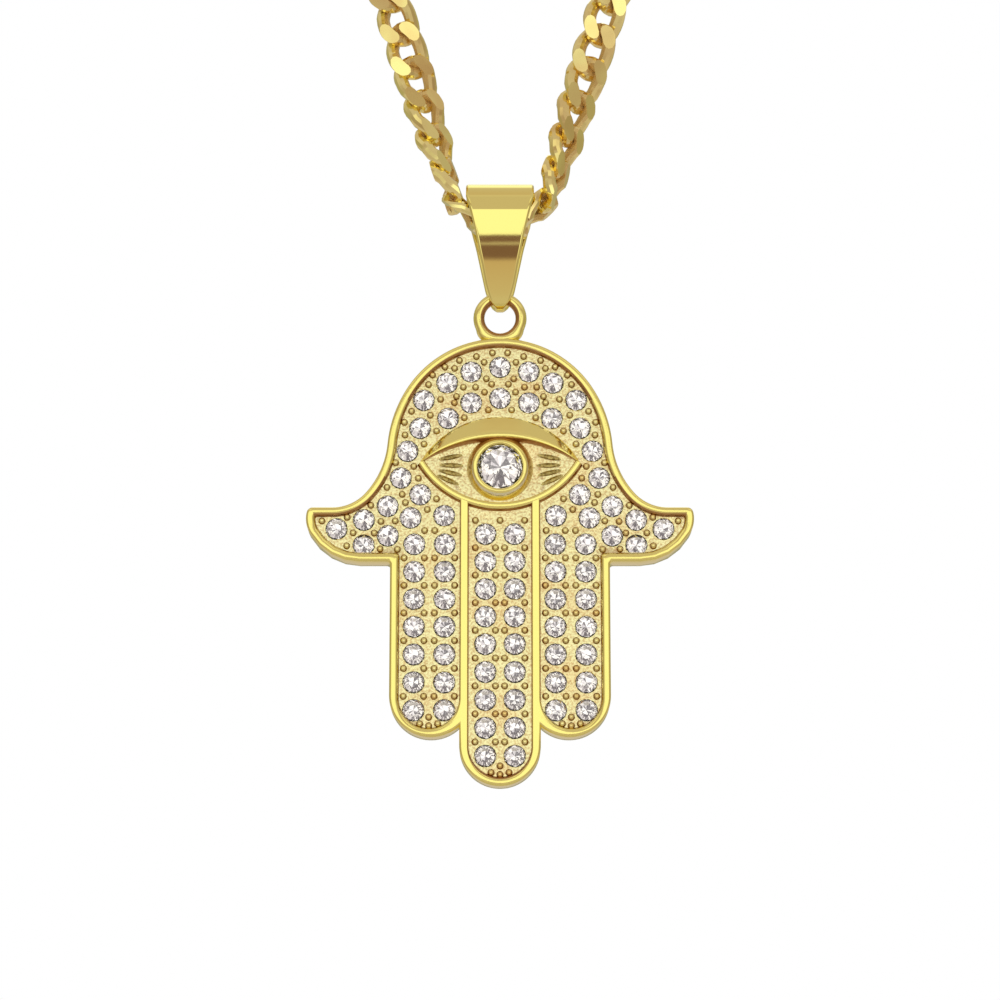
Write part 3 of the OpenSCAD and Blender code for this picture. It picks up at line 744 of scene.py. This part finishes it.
# the long edges lie a little lower than the flat front, over this width, and are rounded
edge_fall = 0.05
border_w = 0.26
border_end = 0.32
strap_round = 0.2
BAIL_WIDTH = [
    # height above the loop's middle as a share of its length, half-width as a share of the top's
    (1.0, 1.0), (0.19, 1.0), (-0.32, 0.7), (-0.886, 0.43),
    (-1.0, 0.35), (-1.07, 0.29), (-1.12, 0.23), (-1.16, 0.15),
]


def bail_reach(height):
    """Half the strap's width at a height, by straight steps between the table's rows."""
    share = height / bail_l
    for (high, wide), (low, thin) in zip(BAIL_WIDTH, BAIL_WIDTH[1:]):
        if share >= low:
            return bail_half * (thin + (wide - thin) * (share - low) / (high - low))
    return bail_half * BAIL_WIDTH[-1][1]


def strap_line(inwards):
    """Side view of the folded strap, moved inwards: round the top loop, down the front, under the
    foot and up the back."""
    top_r = bail_top_r - inwards
    foot_r = bail_foot_r - inwards
    lean = math.degrees(math.asin((top_r - foot_r) / bail_l))
    front = []
    for i in range(1, 16):
        t = i / 16
        a, b = polar((0, 0), top_r, 180 + lean), polar((0, -bail_l), foot_r, 180 + lean)
        out = bail_bulge * 4 * t * (1 - t)
        front.append((a[0] + (b[0] - a[0]) * t - out, a[1] + (b[1] - a[1]) * t))
    back = [(-x, y) for x, y in reversed(front)]
    return (arc((0, 0), top_r, -lean, 180 + lean, 40) + front
            + arc((0, -bail_l), foot_r, 180 + lean, 360 - lean, 16) + back)


strap = bmesh.new()
outside = strap_line(0)
fallen = strap_line(edge_fall)
inside = strap_line(bail_t)


def strap_ring(side, line, inset):
    """One closed edge along the whole strap, on its left or right, this far in from its border."""
    verts = [strap.verts.new((side * (bail_reach(w[1]) - inset), p[0], p[1])) for p, w in zip(line, outside)]
    return [strap.edges.new((verts[i - 1], verts[i])) for i in range(len(verts))]


STRAP_RINGS = [
    # side, line and inset, round the strap's section: in, out and over the flat front, and back in
    (-1, inside, 0), (-1, fallen, 0), (-1, outside, border_w), (-1, outside, border_end),
    (1, outside, border_end), (1, outside, border_w), (1, fallen, 0), (1, inside, 0),
]
around_strap = [strap_ring(*row) for row in STRAP_RINGS]
for ring, following in zip(around_strap, around_strap[1:] + around_strap[:1]):
    bmesh.ops.bridge_loops(strap, edges=ring + following)
bmesh.ops.recalc_face_normals(strap, faces=strap.faces)
bmesh.ops.bevel(strap, geom=[e for ring in around_strap[:2] + around_strap[-2:] for e in ring],
                offset=strap_round, offset_type="OFFSET", segments=3, profile=0.5, affect="EDGES",
                material=-1, clamp_overlap=True)
bmesh.ops.transform(strap, verts=strap.verts, matrix=Matrix.Scale(0.001, 4)
                    @ Matrix.Translation((0, bail_middle.y, bail_middle.z)))
bail_gold = gold("polished_strap", (0.97, 0.83, 0.27), 0.035,
                 fine=(4000, 0.05), wave=(300, 0.9), bump=0.000003, spread=0.015)
bail = new_piece("bail_strap", strap, [bail_gold])
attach(bail, "bail")
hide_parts("bail")

# The chain
# Curb links of plated round wire, each twisted and joined to the next, and then cut flat on both
# faces, which leaves the lens-shaped mirrors that flash as the chain turns.
LINK_SIZES = {
    # half length and half width of the wire's middle, twist, wire radius, height of the flats
    "whole": (2.5, 1.45, -1.0, 0.7, 1.03),
    "thin": (2.55, 1.55, -0.95, 0.6, 0.95),
}
thin_within = 5.6
link_steps = 32
wire_sides = 12
# the higher this power, the shorter the bends at a link's shoulders
shoulder = 1.7
near = 0.02
# A link's inside and ends are painted browner, as shade in the crevices between links: a face is
# painted so when it turns this far towards the link's middle, and sooner in the ends
inner_at_side = 0.3
inner_at_end = -0.5
end_share = 0.62
# axes and degrees by which a link may lie turned from its solid
LINK_PLAY = (("X", 6), ("Y", 2))
CUT, PAINTED_INSIDE = range(2)
chain_gold = gold("cut_links", (0.98, 0.84, 0.34), 0.08,
                  fine=(240, 0.0), wave=(400, 0.9), bump=0.00001, spread=0.03, pits=(0.9, 0.69, 0.28))
# Painted shade for the links' crevices, browner and half metallic so that soft diffuse light fills them
inner_painted_shade = gold("link_insides_painted_shade", (0.8, 0.57, 0.22), 0.3,
                  fine=(5000, 0.2), wave=(600, 0.8), bump=0.00002, spread=0.05)
inner_painted_shade.node_tree.nodes["Principled BSDF"].inputs["Metallic"].default_value = 0.5


def link_line(t, half_l, half_w, twist):
    """The middle of a link's wire: an oval whose four shoulders are bent up and down in turn."""
    bend = math.sin(2 * t)
    up = twist * math.copysign(abs(bend) ** shoulder, bend)
    return Vector((half_l * math.cos(t), half_w * math.sin(t), up))


def link_mesh(half_l, half_w, twist, wire_r, flat):
    """One curb link about the origin, along X, with its flats facing Z, in millimetres."""
    bm = bmesh.new()
    section = bmesh.ops.create_circle(bm, segments=wire_sides, radius=wire_r,
                                      matrix=Matrix.Translation((half_l, 0, 0))
                                      @ Matrix.Rotation(math.radians(90), 4, "X"))["verts"]
    bmesh.ops.spin(bm, geom=section + edges_of(section), cent=(0, 0, 0), axis=(0, 0, 1),
                   angle=2 * math.pi, steps=link_steps, use_merge=True)
    for v in bm.verts:
        t = math.atan2(v.co.y, v.co.x)
        out = math.hypot(v.co.x, v.co.y) - half_l
        before, middle, after = (link_line(t + way * near, half_l, half_w, twist) for way in (-1, 0, 1))
        along = (after - before).normalized()
        side = along.cross(Vector((0, 0, 1))).normalized()
        v.co = middle + side * out + side.cross(along) * v.co.z
    for way in (-1, 1):
        cut = bmesh.ops.bisect_plane(bm, geom=bm.verts[:] + bm.edges[:] + bm.faces[:], dist=1e-5,
                                     plane_co=(0, 0, way * flat), plane_no=(0, 0, way), clear_outer=True)
        edges = [g for g in cut["geom_cut"] if isinstance(g, bmesh.types.BMEdge)]
        bmesh.ops.holes_fill(bm, edges=edges, sides=0)
    bmesh.ops.recalc_face_normals(bm, faces=bm.faces)
    for face in bm.faces:
        middle = face.calc_center_median()
        inwards = -Vector((middle.x / half_l, middle.y / half_w, 0)).normalized()
        least = inner_at_end if abs(middle.x) > end_share * half_l else inner_at_side
        face.material_index = PAINTED_INSIDE if face.normal.dot(inwards) > least else CUT
    mesh = bpy.data.meshes.new("link")
    bm.to_mesh(mesh)
    bm.free()
    return mesh


links = {kind: link_mesh(*sizes) for kind, sizes in LINK_SIZES.items()}


def loose_parts(node):
    """The separate solids of a CAD node, each as its corners, from the lowest link to the nape."""
    bm = bmesh.new()
    bm.from_mesh(frame["nodes"][node].data)
    bmesh.ops.remove_doubles(bm, verts=bm.verts, dist=1e-6)
    left = set(bm.verts)
    parts = []
    for start in bm.verts:
        reach = [start] if start in left else []
        left.discard(start)
        part = []
        while reach:
            v = reach.pop()
            part.append(v.co.copy())
            for e in v.link_edges:
                other = e.other_vert(v)
                if other in left:
                    left.remove(other)
                    reach.append(other)
        if part:
            parts.append(part)
    bm.free()
    # upwards and backwards, so that the random turns fall on the same links in each run
    return sorted(parts, key=lambda part: sum(p.y + p.z for p in part) / len(part))


def own_axes(part):
    """The middle of a link and its long, wide and thin directions, from its corners' spread."""
    middle = sum(part, Vector()) / len(part)
    spread = Matrix(((0, 0, 0),) * 3)
    for p in part:
        q = (p - middle) * 1000
        spread += Matrix([[q[i] * q[j] for j in range(3)] for i in range(3)])
    # the longest and the flattest direction, by repeated stretching of any slanting one
    slanting = Vector((0.31, 0.57, 0.76))
    found = []
    for matrix in (spread, spread.inverted()):
        for _ in range(6):
            matrix = matrix @ matrix
            matrix = matrix * (1 / max(abs(x) for row in matrix for x in row))
        found.append((matrix @ slanting).normalized())
    long, flat = found
    wide = flat.cross(long).normalized()
    return Matrix.Translation(middle) @ Matrix((long, wide, flat)).transposed().to_4x4()


def chain_half(name, node):
    """Half the chain, with a link in the place of each solid, turned a little in its neighbours."""
    bm = bmesh.new()
    for part in loose_parts(node):
        place = own_axes(part)
        for axis, reach in LINK_PLAY:
            place = place @ Matrix.Rotation(math.radians(dice.uniform(-reach, reach)), 4, axis)
        # the links that pass through the bail are the thin ones
        in_bail = (place.translation * 1000 - bail_middle).length < thin_within
        made = bmesh.new()
        made.from_mesh(links["thin" if in_bail else "whole"])
        bmesh.ops.transform(made, verts=made.verts, matrix=place @ Matrix.Scale(0.001, 4))
        # the outermost links stay inside the drawn box
        push = Vector([max(0, cad_box[0][i] - min(v.co[i] for v in made.verts))
                       - max(0, max(v.co[i] for v in made.verts) - cad_box[1][i]) for i in range(3)])
        bmesh.ops.translate(made, verts=made.verts, vec=push)
        spare = bpy.data.meshes.new("spare")
        made.to_mesh(spare)
        made.free()
        bm.from_mesh(spare)
        bpy.data.meshes.remove(spare)
    piece = new_piece(name, bm, [chain_gold, inner_painted_shade], smooth=28)
    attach(piece, "chain")
    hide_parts(node)


chain_half("chain_links_left", "chain_left")
chain_half("chain_links_right", "chain_right")
for mesh in links.values():
    bpy.data.meshes.remove(mesh)

# The clasp
# A plain plated barrel clasp, closed, with a wire eye at each end through the last links. The
# photograph hides it, so its solid is kept as it is and only gets its metal.
clasp = frame["nodes"]["clasp"]
clasp.data.materials.clear()
clasp.data.materials.append(gold("clasp_barrel", (0.95, 0.76, 0.3), 0.12,
                                 fine=(5000, 0.2), wave=(400, 0.8), bump=0.00002, spread=0.03))

# The studio
# A small pale floor well below, a room whose bright and brown bands are seen only where the gold
# mirrors them, and the camera a little below the hand, looking up, as for the photograph.
picture_middle = Vector((0, swing.y, -0.16483))
camera_distance = 0.3
camera_drop = math.radians(12)
lens = bpy.data.cameras.new("camera")
lens.sensor_width = 36
lens.lens = 108
lens.clip_start = 0.01
camera = bpy.data.objects.new("camera", lens)
camera.location = picture_middle - camera_distance * Vector((0, math.cos(camera_drop), math.sin(camera_drop)))
camera.rotation_euler = (math.radians(90) + camera_drop, 0, 0)
scene.collection.objects.link(camera)
scene.camera = camera
scene.view_settings.view_transform = "Standard"

ground_r = 0.22
ground_middle = (0, -0.06, -0.42)
ground = bmesh.new()
bmesh.ops.create_circle(ground, cap_ends=True, segments=64, radius=ground_r,
                        matrix=Matrix.Translation(ground_middle))
floor_paint = bpy.data.materials.new("pale_floor")
floor_paint.use_nodes = True
floor_shader = floor_paint.node_tree.nodes["Principled BSDF"]
floor_shader.inputs["Base Color"].default_value = (0.86, 0.85, 0.83, 1)
floor_shader.inputs["Roughness"].default_value = 0.7
studio_floor = new_piece("studio_floor", ground, [floor_paint])

room = bpy.data.worlds.new("room")
room.use_nodes = True
scene.world = room
tree = room.node_tree
tree.nodes.clear()
direction = tree.nodes.new("ShaderNodeTexCoord")
parts = tree.nodes.new("ShaderNodeSeparateXYZ")
tree.links.new(direction.outputs["Generated"], parts.inputs[0])


def ramp(source, stops):
    """A colour ramp over a value from -1 to 1, from stops of position and colour."""
    span = node_at(tree, "ShaderNodeMapRange", **{"From Min": -1})
    tree.links.new(source, span.inputs["Value"])
    made = tree.nodes.new("ShaderNodeValToRGB")
    band = made.color_ramp
    while len(band.elements) < len(stops):
        band.elements.new(0.5)
    for element, (at, color) in zip(band.elements, stops):
        element.position = (at + 1) / 2
        element.color = (*color, 1)
    tree.links.new(span.outputs["Result"], made.inputs["Fac"])
    return made.outputs["Color"]


def mixed(fac, a, b):
    """One colour where the factor is black, and another where it is white."""
    made = node_at(tree, "ShaderNodeMix", data_type="RGBA")
    tree.links.new(fac, made.inputs["Factor"])
    tree.links.new(a, made.inputs["A"])
    tree.links.new(b, made.inputs["B"])
    return made.outputs["Result"]


BLACK = (0.0, 0.0, 0.0)
WHITE = (1.0, 1.0, 1.0)
LIT = (1.12, 1.16, 1.04)
MIDDLE = (0.6, 0.54, 0.52)
TAWNY = (0.56, 0.43, 0.37)
WARM = (0.66, 0.6, 0.58)
DUN = (0.585, 0.49, 0.44)
UMBER = (0.46, 0.36, 0.3)
PALE = (0.92, 0.88, 0.74)
DIM = (0.4, 0.33, 0.28)
OLIVE = (0.42, 0.4, 0.28)
DARK = (0.2, 0.12, 0.12)
SHADE = (0.2, 0.18, 0.2)
LAVENDER = (0.86, 0.81, 0.84)
FLASH = (1.42, 1.39, 1.36)
# In front, from below upwards: the room's brown, the dark gap that the bail's front mirrors, the
# bright panel that the hand's front mirrors, and the browner ceiling that its upper lid mirrors
facing = ramp(parts.outputs["Z"], [
    (-1, MIDDLE), (-0.35, MIDDLE), (-0.207, TAWNY), (-0.201, DARK), (-0.1595, DARK), (-0.1585, MIDDLE),
    (-0.1565, MIDDLE), (-0.1555, DARK), (-0.132, DARK), (-0.127, LIT), (0.24, LIT), (0.28, MIDDLE),
    (0.88, MIDDLE), (0.915, WARM), (0.96, DUN), (1, DUN)])
# To either side of that, what the flats of the upper links mirror
aside = ramp(parts.outputs["Z"], [
    (-1, MIDDLE), (-0.26, MIDDLE), (-0.2, LIT), (0.33, LIT), (0.345, MIDDLE), (0.4, MIDDLE),
    (0.42, UMBER), (0.51, UMBER), (0.54, PALE), (0.72, PALE), (0.76, MIDDLE)])
# Farther round, and behind the pendant in the middle and at both sides
beside = ramp(parts.outputs["Z"], [(-1, MIDDLE), (-0.4, DIM), (0.2, DIM), (0.7, MIDDLE), (1, MIDDLE)])
back_middle = ramp(parts.outputs["Z"], [
    (-1, MIDDLE), (-0.1, MIDDLE), (0, OLIVE), (0.4, OLIVE), (0.5, LIT), (0.9, LIT), (0.96, MIDDLE)])
back_sides = ramp(parts.outputs["Z"], [
    (-1, MIDDLE), (-0.1, MIDDLE), (0, OLIVE), (0.4, OLIVE), (0.8, MIDDLE), (1, MIDDLE)])
# How these parts of the room meet
off_middle = ramp(parts.outputs["X"], [(-0.2, WHITE), (-0.14, BLACK), (0.14, BLACK), (0.2, WHITE)])
far_off = ramp(parts.outputs["X"], [(-0.85, WHITE), (-0.4, BLACK), (0.4, BLACK), (0.85, WHITE)])
backwards = ramp(parts.outputs["Y"], [(-0.3, BLACK), (0.25, WHITE)])
front = mixed(far_off, mixed(off_middle, facing, aside), beside)
around = mixed(backwards, front, mixed(off_middle, back_middle, back_sides))
seen = tree.nodes.new("ShaderNodeLightPath")
# What the stones throw back is broken up into bright and dark patches, as from a room's lamps
patches = node_at(tree, "ShaderNodeTexVoronoi", Scale=6.0)
tree.links.new(direction.outputs["Generated"], patches.inputs["Vector"])
patch_parts = tree.nodes.new("ShaderNodeSeparateColor")
tree.links.new(patches.outputs["Color"], patch_parts.inputs[0])
sparkle = ramp(patch_parts.outputs[0], [
    (0, SHADE), (0.3, SHADE), (0.33, LAVENDER), (0.58, LAVENDER), (0.62, FLASH), (1, FLASH)])
mirrored = mixed(seen.outputs["Is Transmission Ray"], around, sparkle)
# The camera itself sees only white
plain = node_at(tree, "ShaderNodeRGB")
plain.outputs[0].default_value = (*WHITE, 1)
shown = mixed(seen.outputs["Is Camera Ray"], mirrored, plain.outputs[0])
glow = tree.nodes.new("ShaderNodeBackground")
tree.links.new(shown, glow.inputs["Color"])
out = tree.nodes.new("ShaderNodeOutputWorld")
tree.links.new(glow.outputs[0], out.inputs["Surface"])
